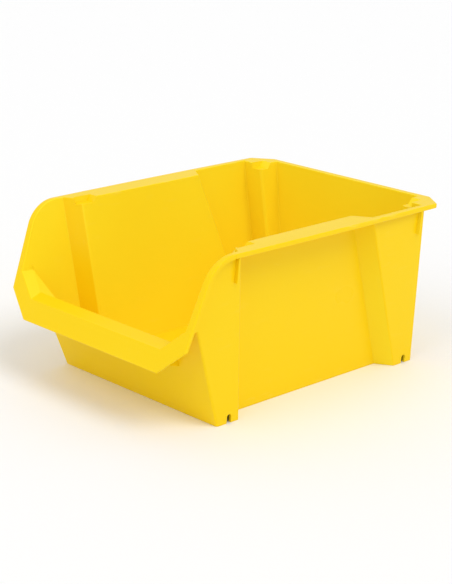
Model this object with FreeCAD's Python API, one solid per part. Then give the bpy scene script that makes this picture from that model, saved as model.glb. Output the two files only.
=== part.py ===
import FreeCAD, Part
import math
import os
from FreeCAD import Vector

# Stackable open-fronted storage bin, one polypropylene moulding, in millimetres.
# +X is the bin's right side, +Y its rear, +Z up. While it is drawn, y = 0 is the foot of
# the front wall; at the end everything is moved so that the origin lies below the middle.

# Body
HEIGHT = 190.0              # from the underside of the feet to the top of the rim
WALL = 3.0
BASE_HALF_WIDTH = 126.5     # corner columns, outside, at the base
SIDE_DRAFT = 0.1            # outward lean of the side faces, per millimetre of height
FRONT_LEAN = 0.335          # forward lean of the front wall, per millimetre of height
REAR_FACE = 322.0           # outside of the upright rear wall
FLOOR_BOTTOM = 10.5         # the floor is raised above the feet
FLOOR_TOP = 13.5
CONVEX_RADIUS = 2.4         # rounding of the body's upright corners, outside
CONCAVE_RADIUS = 1.4
INNER_CORNER = 1.2          # least rounding of the corners inside

# Corner columns and the recess between them: y at the base and y at the rim
FRONT_COLUMN_END = (30.6, 13.1)
REAR_COLUMN_START = (275.0, 208.6)
REAR_COLUMN_END = (305.3, 294.5)
RECESS_DEPTH = 20.0
FACET_RUN = 12.0            # length along Y of the slanting facets beside the recess
REAR_STEP = 29.0            # how far the body narrows behind the rear columns

# Rim
RIM_THICKNESS = 3.0
RIM_DEPTH = 5.3             # height of the rim's outer face
BAND = 2.4                  # thickness of the turned-down edge
RIM_HALF_WIDTH = 149.8
RIM_BULGE = 1.4             # the side rims bow outward by this much at mid length
RIM_REAR = 327.4
RIM_CORNER = (25.5, 18.1)   # cut-off rear corners of the rim, along X and along Y
RIM_CORNER_RADIUS = 4.5
RIM_ROUND = 1.2             # rounding of the rim's outer edges
INNER_ROUND = 0.8           # rounding of its inner edges

# Sloping front edges and pouring lip
BEND_RADIUS = 38.5          # round corner between the rim and the sloping edge
SLOPE_TOP = -23.7           # y where the line of the slope meets the top of the rim
SLOPE_LEAN = 0.39           # it runs forward by this much per millimetre of drop
FRAME_HALF_WIDTH = 143.3    # outer lower corner of the sloping frame
FRAME_Z = 98.5
FRAME_DEPTH = 3.3           # the turned-back edge is shallowest at that corner
CHEEK_Z = 117.7             # where the lip's raised corners meet the side walls
CHEEK_DROP = 2.6            # the cheeks reach this far below the shelf
LIP_HALF = 107.1            # half length of the straight lip
LIP_Z = 94.3
LIP_RISE = 3.4              # the shelf rises to the rear
LIP_REAR = -44.3
SKIRT_HALF = 110.9          # lower corner of the skirt
SKIRT_Z = 71.4
THROAT_Z = 87.0             # top of the front wall, where the throat turns forward
THROAT_HALF = 108.0
LIP_THICKNESS = 3.2

# Feet, gussets, lip ribs and stacking seats
NOTCH_Y = (16.6, 290.3)
NOTCH_WIDTH = 5.9
NOTCH_HEIGHT = 10.1
GUSSET_Y = (8.2, 285.5)
GUSSET_THICKNESS = 2.2
GUSSET_FOOT = 158.0
GUSSET_REACH = 4.4          # how far a gusset stands out from the column
LIP_RIB_X = 90.5
LIP_RIB_THICKNESS = 2.2
LIP_RIB_FOOT = 62.0
SEAT_DEPTH = 6.8
SEAT_FLOOR = 2.4            # thickness of the tray under a seat
FRONT_SEAT = (134.0, 19.0, 38.0, 43.5)      # outer x, front y, foot and top of the ramp
REAR_SEAT = (128.0, 289.0, 303.5, 309.0)

# Where the regions of the moulding meet
FOOT_TOP = 16.0
LIP_SEAM = 98.0
RIM_SEAM = 300.0
REAR_SEAM = 98.0

FAR = 400.0                 # larger than the bin, for cutting tools
TOP = HEIGHT - RIM_THICKNESS
SLOPE_LENGTH = math.hypot(1, SLOPE_LEAN)
BEND_ANGLE = math.atan2(1, SLOPE_LEAN)
BEND_TANGENT = BEND_RADIUS * math.tan(BEND_ANGLE / 2)
BEND_Y = SLOPE_TOP + BEND_TANGENT
BEND_Z = HEIGHT - BEND_RADIUS
SKIRT_BACK = Vector(0, WALL * SLOPE_LENGTH, 0)
DOWN = Vector(0, 0, -LIP_THICKNESS)


def between(ends, z):
    """Value at height z of something that runs straight from the base to the rim."""
    return ends[0] + (ends[1] - ends[0]) * z / HEIGHT


def half_width(z):
    return BASE_HALF_WIDTH + SIDE_DRAFT * z


def inner_side(z):
    return half_width(z) - WALL


def front_y(z):
    """Outside of the front wall."""
    return -FRONT_LEAN * z


def inner_front_y(z):
    return front_y(z) + WALL * math.hypot(1, FRONT_LEAN)


def slope_y(z):
    """Face of the sloping front frame."""
    return SLOPE_TOP - SLOPE_LEAN * (HEIGHT - z)


def frame_x(z):
    """Outer edge of the sloping front frame."""
    lean = (RIM_HALF_WIDTH - FRAME_HALF_WIDTH) / (HEIGHT - FRAME_Z)
    return RIM_HALF_WIDTH - lean * (HEIGHT - z)


def set_back(z, depth):
    """Point of the sloping line at height z, moved into the bin square to it."""
    return Vector(0, slope_y(z) + depth / SLOPE_LENGTH, z - depth * SLOPE_LEAN / SLOPE_LENGTH)


def offset(points, distance):
    """A closed counter-clockwise outline moved inwards by distance."""
    lines = []
    for (x0, y0), (x1, y1) in zip(points, points[1:] + points[:1]):
        length = math.hypot(x1 - x0, y1 - y0)
        nx, ny = (y0 - y1) / length, (x1 - x0) / length
        lines.append((nx, ny, nx * x0 + ny * y0 + distance))
    moved = []
    for (a1, b1, c1), (a2, b2, c2) in zip(lines[-1:] + lines[:-1], lines):
        det = a1 * b2 - a2 * b1
        moved.append(((c1 * b2 - c2 * b1) / det, (a1 * c2 - a2 * c1) / det))
    return moved


def rounded_wire(points, radii, z):
    """Closed outline at height z with every corner rounded to its own radius."""
    starts, arcs, ends = [], [], []
    previous = points[-1:] + points[:-1]
    following = points[1:] + points[:1]
    for before, corner, after, radius in zip(previous, points, following, radii):
        p = Vector(corner[0], corner[1], z)
        u = (Vector(before[0], before[1], z) - p).normalize()
        v = (Vector(after[0], after[1], z) - p).normalize()
        half = u.getAngle(v) / 2
        reach = radius / math.tan(half)
        middle = p + (u + v).normalize() * (radius / math.sin(half) - radius)
        starts.append(p + u * reach)
        ends.append(p + v * reach)
        arcs.append(Part.Arc(starts[-1], middle, ends[-1]).toShape())
    edges = []
    for arc, end, start in zip(arcs, ends, starts[1:] + starts[:1]):
        edges.append(arc)
        edges.append(Part.makeLine(end, start))
    return Part.Wire(edges)


def outline(z):
    """Outside of the body at height z: its corner points."""
    wide = half_width(z)
    column = between(FRONT_COLUMN_END, z)
    rear = between(REAR_COLUMN_START, z)
    end = between(REAR_COLUMN_END, z)
    right = [
        (wide, front_y(z)),
        (wide, column),
        (wide - RECESS_DEPTH, column + FACET_RUN),
        (wide - RECESS_DEPTH, rear - FACET_RUN),
        (wide, rear),
        (wide, end),
        (wide - REAR_STEP, end),
        (wide - REAR_STEP, REAR_FACE),
    ]
    left = [(-x, y) for x, y in reversed(right)]
    return right + left


def body(z0, z1, inset):
    """Solid with the body's drafted outline, moved inwards by inset."""
    convex = max(CONVEX_RADIUS - inset, INNER_CORNER)
    concave = CONCAVE_RADIUS + inset
    turns = [convex, convex, concave, concave, convex, convex, concave, convex]
    radii = turns + turns[::-1]
    wires = [rounded_wire(offset(outline(z), inset), radii, z) for z in (z0, z1)]
    return Part.makeLoft(wires, True, True)


def face_of(points):
    return Part.Face(Part.makePolygon(points + points[:1]))


def side_prism(points, x0=-FAR, x1=FAR):
    """Solid whose side view is the outline of (y, z) points."""
    return face_of([Vector(x0, y, z) for y, z in points]).extrude(Vector(x1 - x0, 0, 0))


def front_prism(points):
    """Solid whose front view is the outline of (x, z) points."""
    return face_of([Vector(x, -FAR, z) for x, z in points]).extrude(Vector(0, 3 * FAR, 0))


def slab(inner, outer):
    """Everything between two side faces given as functions of height."""
    low, high = -20.0, HEIGHT + 20
    return front_prism([(inner(low), low), (outer(low), low), (outer(high), high), (inner(high), high)])


def block(x0, x1, y0, y1, z0, z1):
    return Part.makeBox(x1 - x0, y1 - y0, z1 - z0, Vector(x0, y0, z0))


def along(front, rear, x0=1.0, x1=FAR, z0=0.0, z1=TOP):
    """Cutting tool between two lines across the side wall, functions of height."""
    return side_prism([(front(z0), z0), (rear(z0), z0), (rear(z1), z1), (front(z1), z1)], x0, x1)


def bend(depth):
    """Arc of the rim's front bend, set in by depth, from the slope up to the level rim."""
    radius = BEND_RADIUS - depth
    points = []
    for share in (1.0, 0.5, 0.0):
        angle = BEND_ANGLE * share
        points.append(Vector(0, BEND_Y - radius * math.sin(angle), BEND_Z + radius * math.cos(angle)))
    return points


def bent_solid(depth, low=40.0, low_depth=None):
    """Everything behind the bend and the slope, set in by depth, or by low_depth at the foot."""
    arc = bend(depth)
    foot = set_back(low, depth if low_depth is None else low_depth)
    top = Vector(0, FAR, HEIGHT - depth)
    back = Vector(0, FAR, foot.z)
    edges = [Part.makeLine(foot, arc[0]), Part.Arc(*arc).toShape(), Part.makeLine(arc[2], top)]
    edges += [Part.makeLine(top, back), Part.makeLine(back, foot)]
    face = Part.Face(Part.Wire(edges))
    face.translate(Vector(-FAR, 0, 0))
    return face.extrude(Vector(2 * FAR, 0, 0))


def panel(points, shift):
    """Flat or slightly folded panel: its corner points and its thickness as a shift."""
    back = [p + shift for p in points]
    count = len(points)
    corners = []
    for i in range(1, count - 1):
        corners.append((points[0], points[i], points[i + 1]))
        corners.append((back[0], back[i + 1], back[i]))
    for i in range(count):
        j = (i + 1) % count
        corners.append((points[i], back[i], back[j]))
        corners.append((points[i], back[j], points[j]))
    shell = Part.Shell([face_of(list(c)) for c in corners])
    solid = Part.Solid(shell)
    if solid.Volume < 0:
        solid.reverse()
    return solid.removeSplitter()


def mirrored(shape):
    return shape.mirror(Vector(0, 0, 0), Vector(1, 0, 0))


def both(shape):
    return [shape, mirrored(shape)]


def lip_points():
    """Corner points of the right half of the lip."""
    points = {
        "cheek_front": Vector(inner_side(CHEEK_Z), slope_y(CHEEK_Z), CHEEK_Z),
        "cheek_rear": Vector(inner_side(CHEEK_Z), inner_front_y(CHEEK_Z), CHEEK_Z - 0.7),
        "frame_top": Vector(frame_x(CHEEK_Z), slope_y(CHEEK_Z), CHEEK_Z),
        "frame": Vector(FRAME_HALF_WIDTH, slope_y(FRAME_Z), FRAME_Z),
        "lip": Vector(LIP_HALF, slope_y(LIP_Z), LIP_Z),
        "skirt": Vector(SKIRT_HALF, slope_y(SKIRT_Z), SKIRT_Z),
        "throat": Vector(THROAT_HALF, inner_front_y(THROAT_Z), THROAT_Z),
    }
    # The ridge behind the shelf lies in the plane of the raised corner
    a, b, c = points["cheek_front"], points["cheek_rear"], points["lip"]
    normal = (b - a).cross(c - a)
    y, z = LIP_REAR, LIP_Z + LIP_RISE
    x = a.x - (normal.y * (y - a.y) + normal.z * (z - a.z)) / normal.x
    points["ridge"] = Vector(x, y, z)
    return points


def flip(point):
    return Vector(-point.x, point.y, point.z)


def make_shell(hollow):
    """Walls of the body, trimmed under the rim and behind the sloping front."""
    walls = body(0, TOP, 0).cut(hollow)
    walls = walls.common(bent_solid(1.0, -100))
    p = lip_points()
    edge = [p["cheek_rear"], p["throat"], flip(p["throat"]), flip(p["cheek_rear"])]
    above = [(v.x, v.z) for v in edge] + [(edge[-1].x, FAR), (edge[0].x, FAR)]
    window = front_prism(above).common(along(lambda z: -FAR, inner_front_y, -FAR, FAR, 0, FAR))
    walls = walls.cut(window)
    openings = slab(lambda z: -inner_side(z), inner_side)
    openings = openings.common(block(-FAR, FAR, -FAR, front_y(0), CHEEK_Z + 5, FAR))
    walls = walls.cut(openings)
    cheek = slab(inner_side, half_width).common(bent_solid(1.0))
    cheek = cheek.common(block(0, FAR, -FAR, -30, CHEEK_Z - CHEEK_DROP, TOP))
    for part in both(cheek):
        walls = walls.fuse(part)
    return walls


def rim_block(inset, z0, z1):
    """Outer shape of the level rim, moved inwards by inset, between two heights."""
    side = RIM_HALF_WIDTH - inset
    cut_x, cut_y = RIM_CORNER
    angle = math.atan2(cut_x, cut_y)
    corner_y = RIM_REAR - cut_y - inset * math.tan(angle / 2)
    corner_x = RIM_HALF_WIDTH - cut_x - inset * math.tan((math.pi / 2 - angle) / 2)
    middle = (corner_y + BEND_Y) / 2
    rear = RIM_REAR - inset
    half = []
    for sign in (1, -1):
        start = Vector(sign * side, BEND_Y, z0)
        end = Vector(sign * side, corner_y, z0)
        half.append([
            Part.Arc(start, Vector(sign * (side + RIM_BULGE), middle, z0), end).toShape(),
            Part.makeLine(end, Vector(sign * corner_x, rear, z0)),
        ])
    back = Part.makeLine(Vector(corner_x, rear, z0), Vector(-corner_x, rear, z0))
    front = Part.makeLine(Vector(-side, BEND_Y, z0), Vector(side, BEND_Y, z0))
    wire = Part.Wire([half[0][0], half[0][1], back, half[1][1], half[1][0], front])
    solid = Part.Face(wire).extrude(Vector(0, 0, z1 - z0))
    upright = []
    for edge in solid.Edges:
        a, b = edge.Vertexes[0].Point, edge.Vertexes[-1].Point
        if abs(a.x - b.x) < 0.01 and abs(a.y - b.y) < 0.01 and a.y > BEND_Y + 50:
            upright.append(edge)
    return solid.makeFillet(RIM_CORNER_RADIUS - inset, upright)


def at_height(edge, z):
    """Whether the whole edge lies at height z."""
    first, last = edge.ParameterRange
    return all(abs(edge.valueAt(u).z - z) < 0.01 for u in (first, (first + last) / 2, last))


def rounded_at(solid, z, radius):
    """Rounds a rim solid's edges at height z, except across its open front end."""
    chosen = []
    for edge in solid.Edges:
        ends = [v.Point.y for v in edge.Vertexes]
        if at_height(edge, z) and max(ends) > BEND_Y + 0.01:
            chosen.append(edge)
    return solid.makeFillet(radius, chosen)


def make_rim(hollow):
    """Level rim: flat top out from the walls' inner faces, and a turned-down edge."""
    top = rounded_at(rim_block(0, TOP, HEIGHT), HEIGHT, RIM_ROUND)
    top = top.cut(hollow)
    inner = []
    for edge in top.Edges:
        lips = [inner_side(HEIGHT) + 0.01 - abs(v.Point.x) for v in edge.Vertexes]
        depths = [REAR_FACE - v.Point.y for v in edge.Vertexes]
        if at_height(edge, HEIGHT) and min(lips) > 0 and min(depths) > 0:
            inner.append(edge)
    top = top.makeFillet(INNER_ROUND, inner)
    edge = rounded_at(rim_block(0, HEIGHT - RIM_DEPTH, TOP), HEIGHT - RIM_DEPTH, RIM_ROUND)
    edge = edge.cut(rim_block(BAND, HEIGHT - RIM_DEPTH - 1, TOP + 1))
    return top.fuse(edge)


def make_frame():
    """Right sloping edge: the rim carried round the bend and down the front."""
    strip = bent_solid(0).cut(bent_solid(RIM_THICKNESS)).common(slab(inner_side, frame_x))
    strip = strip.common(block(0, FAR, -FAR, BEND_Y, CHEEK_Z, FAR))
    edge = bent_solid(0).cut(bent_solid(RIM_DEPTH, FRAME_Z, FRAME_DEPTH))
    edge = edge.common(slab(lambda z: frame_x(z) - BAND, frame_x))
    edge = edge.common(block(0, FAR, -FAR, BEND_Y, FRAME_Z, FAR))
    return strip, edge


def make_lip():
    """Shelf, skirt and throat of the pouring lip, with its two raised corners."""
    p = lip_points()
    shelf = panel([p["lip"], p["ridge"], flip(p["ridge"]), flip(p["lip"])], DOWN)
    skirt = panel([p["lip"], flip(p["lip"]), flip(p["skirt"]), p["skirt"]], SKIRT_BACK)
    throat = panel([p["ridge"], p["throat"], flip(p["throat"]), flip(p["ridge"])], DOWN)
    parts = [shelf, skirt, throat]
    corner_shelf = panel([p["cheek_front"], p["cheek_rear"], p["ridge"], p["lip"]], DOWN)
    skirt_corners = ["frame_top", "cheek_front", "lip", "skirt", "frame"]
    corner_skirt = panel([p[name] for name in skirt_corners], SKIRT_BACK)
    corner_throat = panel([p["cheek_rear"], p["throat"], p["ridge"]], DOWN)
    for shape in (corner_shelf, corner_skirt, corner_throat):
        parts += both(shape)
    return parts


def on_front_face(edge):
    """Whether an edge borders the sloping face or its bend."""
    bend_end = bend(0)[0].z
    first, last = edge.ParameterRange
    points = [edge.valueAt(u) for u in (first, (first + last) / 2, last)]
    if all(abs(p.z - bend_end) < 0.01 for p in points) or min(p.y for p in points) > BEND_Y - 0.01:
        return False
    for p in points:
        if p.z > bend_end:
            off = math.hypot(p.y - BEND_Y, p.z - BEND_Z) - BEND_RADIUS
        else:
            off = p.y - slope_y(p.z)
        if abs(off) > 0.01:
            return False
    return True


def on_ridge(edge):
    """Whether an edge belongs to the crest between the lip's shelf and the throat."""
    p = lip_points()
    crest = [p["ridge"], p["cheek_rear"], flip(p["ridge"]), flip(p["cheek_rear"])]
    return all(min(v.Point.distanceToPoint(c) for c in crest) < 0.01 for v in edge.Vertexes)


def make_front():
    """Frame round the open front: bends, sloping edges and lip, with rounded edges."""
    parts = make_lip()
    for piece in make_frame():
        parts += both(piece)
    front = parts[0].fuse(parts[1:]).removeSplitter().Solids[0]
    front = front.makeFillet(RIM_ROUND, [edge for edge in front.Edges if on_front_face(edge)])
    return front.makeFillet(INNER_ROUND, [edge for edge in front.Edges if on_ridge(edge)])


def seat_profile(seat, drop):
    """Side view of a seat's floor and ramp, lowered by drop, closed far above the rim."""
    front, foot, top = seat[1:]
    floor = HEIGHT - SEAT_DEPTH - drop
    return [(front, floor), (foot, floor), (top, HEIGHT - drop), (top, FAR), (front, FAR)]


def add_seats(moulding, hollow):
    """Sinks the four stacking seats into the rim, each with a tray below it."""
    for seat in (FRONT_SEAT, REAR_SEAT):
        outer = seat[0]
        wider = (outer + BAND, seat[1] - BAND, seat[2], seat[3])
        tray = side_prism(seat_profile(wider, SEAT_FLOOR), 100, wider[0])
        tray = tray.common(block(0, FAR, 0, FAR, 0, TOP)).cut(hollow)
        pocket = side_prism(seat_profile(seat, 0), 100, outer)
        for side in (lambda s: s, mirrored):
            moulding = moulding.fuse(side(tray))
            moulding = moulding.cut(side(pocket))
    return moulding


def foot_notch(y):
    """Slot up from the foot's underside, with a round top."""
    radius = NOTCH_WIDTH / 2
    top = NOTCH_HEIGHT - radius
    slot = block(100, FAR, y - radius, y + radius, -1, top)
    return slot.fuse(Part.makeCylinder(radius, FAR, Vector(100, y, top), Vector(1, 0, 0)))


def gusset(y):
    """Thin upright rib under the rim's edge, standing out evenly from the column."""
    y0 = y - GUSSET_THICKNESS / 2
    ceiling = HEIGHT - RIM_DEPTH
    points = [
        (half_width(GUSSET_FOOT) - 1, GUSSET_FOOT),
        (half_width(GUSSET_FOOT) + GUSSET_REACH, GUSSET_FOOT),
        (half_width(ceiling) + GUSSET_REACH, ceiling),
        (half_width(ceiling) - 1, ceiling),
    ]
    face = face_of([Vector(x, y0, z) for x, z in points])
    return face.extrude(Vector(0, GUSSET_THICKNESS, 0))


def lip_rib(x):
    """Upright rib in the hollow under the lip, from the front wall to the skirt."""
    foot = THROAT_Z - LIP_THICKNESS
    points = [
        (front_y(LIP_RIB_FOOT) + 1, LIP_RIB_FOOT),
        (front_y(foot) + 1, foot),
        (LIP_REAR, LIP_Z + LIP_RISE - 2),
        (slope_y(LIP_Z - 1) + 1, LIP_Z - 1),
        (slope_y(SKIRT_Z + 4) + 1, SKIRT_Z + 4),
    ]
    return side_prism(points, x - LIP_RIB_THICKNESS / 2, x + LIP_RIB_THICKNESS / 2)


def column_end(z):
    return between(FRONT_COLUMN_END, z) - 6


def recess_start(z):
    return between(FRONT_COLUMN_END, z) + FACET_RUN + 6


def recess_end(z):
    return between(REAR_COLUMN_START, z) - FACET_RUN - 6


def rear_start(z):
    return between(REAR_COLUMN_START, z) + 6


def column_back(z):
    return between(REAR_COLUMN_END, z) - 8


def step_end(z):
    return between(REAR_COLUMN_END, z) + 7


def split(solid, tools):
    """Divides a solid into regions: each tool takes its share of what is left."""
    regions = {}
    for name, tool in tools:
        regions[name] = solid.common(tool)
        solid = solid.cut(tool)
    return regions, solid


def make_moulding():
    """The whole bin as one solid."""
    hollow = body(-20, HEIGHT + 20, WALL)
    moulding = make_shell(hollow)
    moulding = moulding.fuse(body(FLOOR_BOTTOM, FLOOR_TOP, WALL - 0.5))
    moulding = moulding.fuse(make_rim(hollow))
    moulding = moulding.fuse(make_front())
    moulding = add_seats(moulding, hollow)
    for y in NOTCH_Y:
        for part in both(foot_notch(y)):
            moulding = moulding.cut(part)
    return moulding.removeSplitter()


def skirt_zone(x0, x1):
    """From before the skirt to its back, for any height below the cheeks."""
    thick = WALL * SLOPE_LENGTH
    low = SKIRT_Z - 10
    points = [
        (slope_y(low) - 5, low),
        (slope_y(low) + thick, low),
        (slope_y(CHEEK_Z) + thick, CHEEK_Z),
        (slope_y(CHEEK_Z) - 5, CHEEK_Z),
    ]
    return side_prism(points, x0, x1)


def centre_tools():
    """Cutting tools for the regions that cross the middle of the bin."""
    wide_front = slab(lambda z: 9 - half_width(z), lambda z: half_width(z) - 9)
    rear_edge = REAR_STEP + 8
    wide_rear = slab(lambda z: rear_edge - half_width(z), lambda z: half_width(z) - rear_edge)
    ahead = [(LIP_REAR, 60), (front_y(60), 60), (front_y(110), 110), (LIP_REAR, 110)]
    return [
        ("floor_panel", body(FLOOR_BOTTOM - 3, FLOOR_TOP + 3, WALL)),
        ("lip_skirt", skirt_zone(-LIP_SEAM, LIP_SEAM)),
        ("lip_shelf", block(-LIP_SEAM, LIP_SEAM, -FAR, LIP_REAR, 60, 110)),
        ("lip_throat", side_prism(ahead, -LIP_SEAM, LIP_SEAM)),
        ("front_wall", along(front_y, inner_front_y, -FAR, FAR).common(wide_front)),
        ("rear_wall", block(-FAR, FAR, REAR_FACE - WALL, REAR_FACE, 0, TOP).common(wide_rear)),
        ("rear_rim", block(-REAR_SEAM, REAR_SEAM, REAR_FACE - WALL, FAR, HEIGHT - RIM_DEPTH, HEIGHT)),
    ]


def seat_zone(seat):
    low = HEIGHT - SEAT_DEPTH - SEAT_FLOOR
    return block(100, seat[0] + BAND, seat[1] - BAND, seat[3], low, HEIGHT)


def frame_zone(low, high):
    """The frame's sloping strip and its turned-back edge, between two heights."""
    ahead = block(0, FAR, -FAR, BEND_Y, low, high)
    strip = bent_solid(0).cut(bent_solid(RIM_THICKNESS)).common(ahead)
    return strip.fuse(edge_zone(low, high))


def edge_zone(low, high):
    """The frame's turned-back edge alone."""
    edge = slab(lambda z: frame_x(z) - BAND, frame_x)
    return edge.common(block(0, FAR, -FAR, BEND_Y, low, high))


def rim_zone():
    """The rim's flat top and its turned-down edge."""
    low = HEIGHT - RIM_DEPTH
    edge = rim_block(0, low, TOP).cut(rim_block(BAND, low, TOP))
    return block(0, FAR, BEND_Y, FAR, TOP, HEIGHT).fuse(edge)


def side_tools():
    """Cutting tools for the regions of the right side, rims first, then front to rear."""
    bend_end = bend(0)[0].z
    ahead_of_wall = [(-FAR, 60), (front_y(60), 60), (front_y(CHEEK_Z), CHEEK_Z), (-FAR, CHEEK_Z)]
    rim = rim_zone()
    corner = skirt_zone(0, FAR).fuse(edge_zone(60, CHEEK_Z))
    shelf_zone = side_prism(ahead_of_wall).common(slab(lambda z: 0, inner_side))
    foot = block(0, FAR, -FAR, FAR, 0, FOOT_TOP)
    return [
        ("front_seat", seat_zone(FRONT_SEAT)),
        ("rear_seat", seat_zone(REAR_SEAT)),
        ("rear_rim_corner", rim.common(block(0, FAR, RIM_SEAM, FAR, 0, HEIGHT))),
        ("side_rim", rim),
        ("front_bend", frame_zone(bend_end, HEIGHT)),
        ("front_slope", frame_zone(CHEEK_Z, bend_end)),
        ("lip_corner_skirt", corner),
        ("lip_corner_shelf", shelf_zone),
        ("front_foot", along(lambda z: -FAR, column_end).common(foot)),
        ("front_column", along(lambda z: -FAR, column_end)),
        ("front_facet", along(column_end, recess_start)),
        ("recess_panel", along(recess_start, recess_end)),
        ("rear_facet", along(recess_end, rear_start)),
        ("rear_foot", along(rear_start, column_back).common(foot)),
        ("rear_column", along(rear_start, column_back)),
        ("rear_step_wall", along(column_back, step_end)),
        ("rear_corner_wall", along(step_end, lambda z: FAR)),
    ]


def build():
    """All regions of the bin by name, with the origin below its middle."""
    moulding = make_moulding()
    reach = moulding.optimalBoundingBox(False, False)
    nodes, rest = split(moulding, centre_tools())
    right_half = rest.common(block(0, FAR, -FAR, FAR, -FAR, FAR))
    sides, _ = split(right_half, side_tools())
    sides["front_gusset"] = gusset(GUSSET_Y[0]).cut(moulding)
    sides["rear_gusset"] = gusset(GUSSET_Y[1]).cut(moulding)
    sides["lip_rib"] = lip_rib(LIP_RIB_X).cut(moulding)
    for name, shape in sides.items():
        nodes[name + "_right"] = shape
        nodes[name + "_left"] = mirrored(shape)
    for shape in nodes.values():
        shape.translate(Vector(0, -(reach.YMin + reach.YMax) / 2, 0))
    return nodes


def main():
    os.makedirs("parts", exist_ok=True)
    for name, shape in build().items():
        shape.exportStep("parts/" + name + ".step")


main()
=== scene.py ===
import math

import bpy
from mathutils import Matrix, Vector

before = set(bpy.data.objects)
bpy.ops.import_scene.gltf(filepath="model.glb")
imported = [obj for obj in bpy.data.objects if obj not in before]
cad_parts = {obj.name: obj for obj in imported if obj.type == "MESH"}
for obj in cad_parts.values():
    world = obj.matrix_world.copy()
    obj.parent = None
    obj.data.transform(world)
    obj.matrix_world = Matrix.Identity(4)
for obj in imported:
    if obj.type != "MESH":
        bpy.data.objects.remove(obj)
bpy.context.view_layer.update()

# Lengths in metres
SMOOTH_ANGLE = math.radians(31)     # faces that meet more flatly than this are shaded as one

# Camera
CAMERA_PLACE = (1.2346, -1.1591, 0.6290)
CAMERA_AZIMUTH = math.radians(46.79)
CAMERA_ELEVATION = math.radians(17.70)
CAMERA_ROLL = math.radians(0.652)
CAMERA_LENS = 97.69                 # millimetres
CAMERA_SENSOR = 36                  # on the picture's long side

# Colours, linear
PLASTIC = (0.965, 0.655, 0.004, 1.0)
# Painted light: the inner faces are paler, so that light bouncing about inside the bin doesn't turn
# the hollow orange
PAINTED_PALE_INSIDE = (0.985, 0.775, 0.022, 1.0)
PLASTIC_FLOW = (0.955, 0.68, 0.008, 1.0)      # slow change of tint along the moulding
PLASTIC_WORN = (0.98, 0.80, 0.22, 1.0)        # bleached by rubbing
FLOOR_COLOUR = (0.95, 0.95, 0.95, 1.0)

# Finish of the plastic
SPECULAR = 0.13
REFRACTION = 1.49
GLOSS = (0.27, 0.37)                # least and most roughness
SCUFF_DULLING = 0.25                # added to the roughness where it is rubbed
SCUFF_BLEACH = 0.35
SCUFF_ELSEWHERE = 0.12              # away from the rim and the feet
RIM_SCUFFS = (0.1870, 0.1898)       # heights between which they set in
FOOT_SCUFFS = (0.0120, 0.0010)
STROKES = (420.0, 42.0, 160.0)      # the scratches run mostly along Y
FLOW_SHARE = 0.35
GRAIN_DEPTH = 0.00006
SCRATCH_DEPTH = 0.00004
SINK_DEPTH = 0.0006

# Stage
FLOOR_SIZE = 12.0
FLOOR_DROP = 0.0002                 # keeps the floor clear of the feet
SKY = 0.72
KEY = ((0.72, 0.0, 1.0), math.radians(30), 0.95)          # direction, spread, strength
FRONT = ((0.05, -1.0, 0.85), math.radians(40), 0.45)

scene = bpy.context.scene


# ------------------------------------------------------------------ materials
def new_material(name):
    mat = bpy.data.materials.new(name)
    mat.use_nodes = True
    tree = mat.node_tree
    return mat, tree, tree.nodes["Principled BSDF"]


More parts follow.
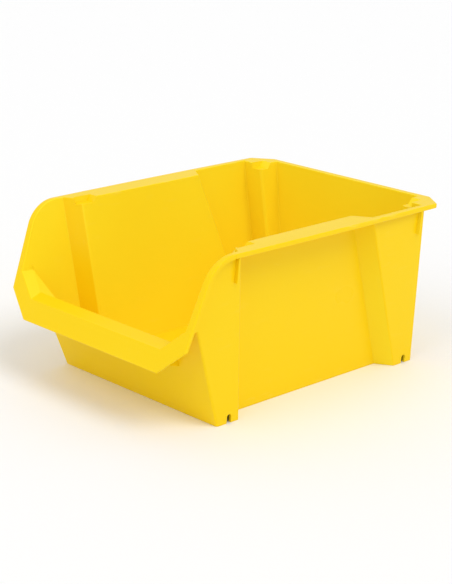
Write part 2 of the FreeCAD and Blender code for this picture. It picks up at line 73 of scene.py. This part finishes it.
def plastic():
    """Satin injection-moulded polypropylene: fine grain, sink marks, uneven gloss, light scuffs,
    and a paler painted-light tint on the inner faces.
    """
    mat, tree, bsdf = new_material("yellow_polypropylene")
    nodes, links = tree.nodes, tree.links
    coords = nodes.new("ShaderNodeTexCoord").outputs["Object"]

    def stretched(scale):
        node = nodes.new("ShaderNodeMapping")
        node.inputs["Scale"].default_value = scale
        links.new(coords, node.inputs["Vector"])
        return node.outputs["Vector"]

    def noise(scale, detail, vector=coords):
        tex = nodes.new("ShaderNodeTexNoise")
        tex.inputs["Scale"].default_value = scale
        tex.inputs["Detail"].default_value = detail
        links.new(vector, tex.inputs["Vector"])
        return tex.outputs["Fac"]

    def spread(value, low, high, to_low, to_high):
        node = nodes.new("ShaderNodeMapRange")
        node.inputs["From Min"].default_value = low
        node.inputs["From Max"].default_value = high
        node.inputs["To Min"].default_value = to_low
        node.inputs["To Max"].default_value = to_high
        links.new(value, node.inputs["Value"])
        return node.outputs["Result"]

    def maths(operation, first, second):
        node = nodes.new("ShaderNodeMath")
        node.operation = operation
        links.new(first, node.inputs[0])
        links.new(second, node.inputs[1])
        return node.outputs["Value"]

    def blend(amount, first, second):
        node = nodes.new("ShaderNodeMix")
        node.data_type = "RGBA"
        links.new(amount, node.inputs["Factor"])
        if isinstance(first, tuple):
            node.inputs["A"].default_value = first
        else:
            links.new(first, node.inputs["A"])
        node.inputs["B"].default_value = second
        return node.outputs["Result"]

    def bump(height, strength, distance, under=None):
        node = nodes.new("ShaderNodeBump")
        node.inputs["Strength"].default_value = strength
        node.inputs["Distance"].default_value = distance
        links.new(height, node.inputs["Height"])
        if under is not None:
            links.new(under, node.inputs["Normal"])
        return node.outputs["Normal"]

    # Scuffs gather on the rim, where the next bin slides in, and at the feet
    split = nodes.new("ShaderNodeSeparateXYZ")
    links.new(coords, split.inputs["Vector"])
    rim = spread(split.outputs["Z"], *RIM_SCUFFS, SCUFF_ELSEWHERE, 1.0)
    foot = spread(split.outputs["Z"], *FOOT_SCUFFS, SCUFF_ELSEWHERE, 1.0)
    strokes = spread(noise(1.0, 5.0, stretched(STROKES)), 0.58, 0.70, 0.0, 1.0)
    patches = spread(noise(22.0, 3.0), 0.42, 0.62, 0.0, 1.0)
    scuff = maths("MULTIPLY", maths("MULTIPLY", strokes, patches), maths("MAXIMUM", rim, foot))

    # Faces that look towards the bin's upright axis are the inner ones; they get a paler colour as
    # painted light
    outward = nodes.new("ShaderNodeVectorMath")
    outward.operation = "DOT_PRODUCT"
    links.new(nodes.new("ShaderNodeNewGeometry").outputs["Normal"], outward.inputs[0])
    links.new(stretched((1.0, 1.0, 0.0)), outward.inputs[1])
    painted_pale_inside = spread(outward.outputs["Value"], 0.01, -0.03, 0.0, 1.0)
    flow = spread(noise(7.0, 2.0), 0.3, 0.7, 0.0, FLOW_SHARE)
    # The paler inner tint is painted light, not a different plastic
    colour = blend(flow, blend(painted_pale_inside, PLASTIC, PAINTED_PALE_INSIDE), PLASTIC_FLOW)
    bleach = spread(scuff, 0.0, 1.0, 0.0, SCUFF_BLEACH)
    links.new(blend(bleach, colour, PLASTIC_WORN), bsdf.inputs["Base Color"])
    bsdf.inputs["Specular IOR Level"].default_value = SPECULAR
    bsdf.inputs["IOR"].default_value = REFRACTION
    gloss = spread(noise(9.0, 3.0), 0.3, 0.7, *GLOSS)
    dulled = spread(scuff, 0.0, 1.0, 0.0, SCUFF_DULLING)
    links.new(maths("ADD", gloss, dulled), bsdf.inputs["Roughness"])
    grain = bump(noise(1700.0, 2.0), 0.12, GRAIN_DEPTH)
    scratched = bump(scuff, 0.15, SCRATCH_DEPTH, grain)
    sunk = bump(noise(14.0, 1.0), 0.25, SINK_DEPTH, scratched)
    links.new(sunk, bsdf.inputs["Normal"])
    return mat


def floor_material():
    mat, tree, bsdf = new_material("pale_floor")
    bsdf.inputs["Base Color"].default_value = FLOOR_COLOUR
    bsdf.inputs["Roughness"].default_value = 0.75
    bsdf.inputs["Specular IOR Level"].default_value = 0.1
    return mat


# ------------------------------------------------------------------ the bin
def finish_node(obj, material):
    """Material and smooth rounded edges for one region of the moulding."""
    mesh = obj.data
    mesh.materials.clear()
    mesh.materials.append(material)
    mesh.shade_smooth()
    mesh.set_sharp_from_angle(angle=SMOOTH_ANGLE)
    normals = obj.modifiers.new("normals", "WEIGHTED_NORMAL")
    normals.mode = "FACE_AREA"
    normals.weight = 50
    normals.keep_sharp = True


yellow = plastic()
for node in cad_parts.values():
    finish_node(node, yellow)


# ------------------------------------------------------------------ stage
def add_floor():
    mesh = bpy.data.meshes.new("floor")
    size = FLOOR_SIZE
    corners = [(-size, -size, 0), (size, -size, 0), (size, size, 0), (-size, size, 0)]
    mesh.from_pydata(corners, [], [(0, 1, 2, 3)])
    floor = bpy.data.objects.new("floor", mesh)
    floor.data.materials.append(floor_material())
    floor.location.z = -FLOOR_DROP
    scene.collection.objects.link(floor)


def far_light(name, source, spread, strength):
    """Soft even light from far away, in the direction source points to."""
    data = bpy.data.lights.new(name, "SUN")
    data.angle = spread
    data.energy = strength
    lamp = bpy.data.objects.new(name, data)
    lamp.rotation_euler = Vector(source).to_track_quat("Z", "Y").to_euler()
    scene.collection.objects.link(lamp)


def add_world(strength):
    world = bpy.data.worlds.new("studio")
    world.use_nodes = True
    background = world.node_tree.nodes["Background"]
    background.inputs["Color"].default_value = (1.0, 1.0, 1.0, 1.0)
    background.inputs["Strength"].default_value = strength
    scene.world = world


def add_camera():
    azimuth, elevation, roll = CAMERA_AZIMUTH, CAMERA_ELEVATION, CAMERA_ROLL
    back = Vector((
        math.sin(azimuth) * math.cos(elevation),
        -math.cos(azimuth) * math.cos(elevation),
        math.sin(elevation),
    ))
    right = Vector((math.cos(azimuth), math.sin(azimuth), 0))
    up = back.cross(right)
    rolled_right = right * math.cos(roll) + up * math.sin(roll)
    rolled_up = up * math.cos(roll) - right * math.sin(roll)
    data = bpy.data.cameras.new("camera")
    data.lens = CAMERA_LENS
    data.sensor_width = CAMERA_SENSOR
    data.sensor_fit = "AUTO"
    data.clip_start = 0.05
    data.clip_end = 100
    camera = bpy.data.objects.new("camera", data)
    turn = Matrix((rolled_right, rolled_up, back)).transposed()
    camera.matrix_world = Matrix.Translation(CAMERA_PLACE) @ turn.to_4x4()
    scene.collection.objects.link(camera)
    scene.camera = camera


add_floor()
add_world(SKY)
far_light("key", *KEY)
far_light("front", *FRONT)
add_camera()
scene.view_settings.view_transform = "Standard"
